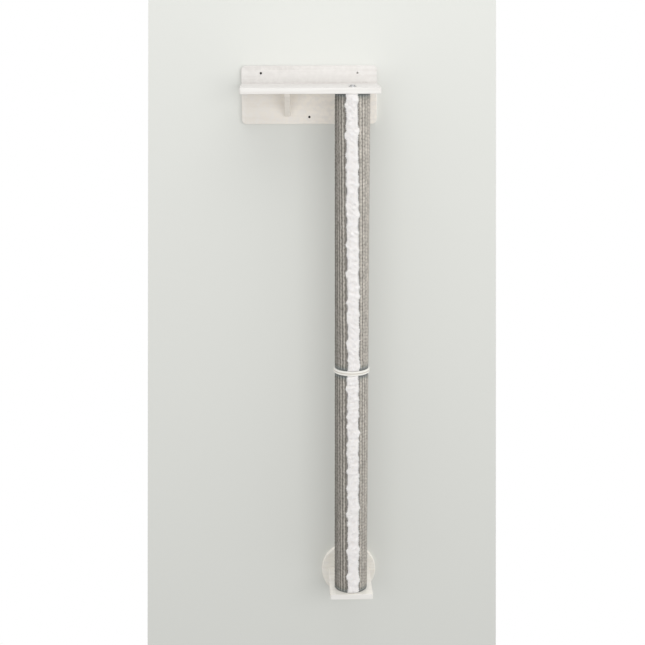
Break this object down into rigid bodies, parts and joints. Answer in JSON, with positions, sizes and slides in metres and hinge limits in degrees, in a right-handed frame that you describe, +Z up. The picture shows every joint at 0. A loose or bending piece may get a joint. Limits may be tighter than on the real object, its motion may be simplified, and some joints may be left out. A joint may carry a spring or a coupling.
{
  "type": "cat climbing wall",
  "caption": "Wall-mounted cat climbing post: a resting shelf on a back board, a ribbed two-part scratching post with a plush strip, and a round foot plate.",
  "frame": {"origin": "on the wall plane, midway between the back board's two upper wall holes", "axes": "+X to the right along the wall as the viewer sees it, +Y into the wall, +Z up; the post stands at -Y in front of the wall"},
  "size_m": [0.438, 0.231, 1.824],
  "materials": {
    "painted_board": "off-white paint, satin",
    "painted_ring": "white paint, satin",
    "woven_cover": "grey ribbed weave, matt",
    "edge_binding": "dark grey overlock binding, matt",
    "white_plush": "white plush, matt",
    "tube_cardboard": "brown spiral-wound board, matt",
    "plug_wood": "raw fibreboard, matt",
    "beech": "raw beech, matt",
    "zinc_steel": "zinc plated, satin"
  },
  "bodies": {
    "root": {"back_board": "painted_board", "bolt_washers": "zinc_steel", "bracket_dowel": "beech", "foot_board": "painted_board", "joint_ring": "painted_ring", "joint_stud": "zinc_steel", "lower_core": "tube_cardboard", "lower_cover": "woven_cover", "lower_end_bindings": "edge_binding", "lower_end_plugs": "plug_wood", "lower_insert_nuts": "zinc_steel", "lower_plush_strip": "white_plush", "panel_screws": "zinc_steel", "post_bolts": "zinc_steel", "shelf": "painted_board", "shelf_bracket": "painted_board", "upper_core": "tube_cardboard", "upper_cover": "woven_cover", "upper_end_bindings": "edge_binding", "upper_end_plugs": "plug_wood", "upper_insert_nuts": "zinc_steel", "upper_plush_strip": "white_plush", "wall_disc": "painted_board"}
  },
  "joints": []
}
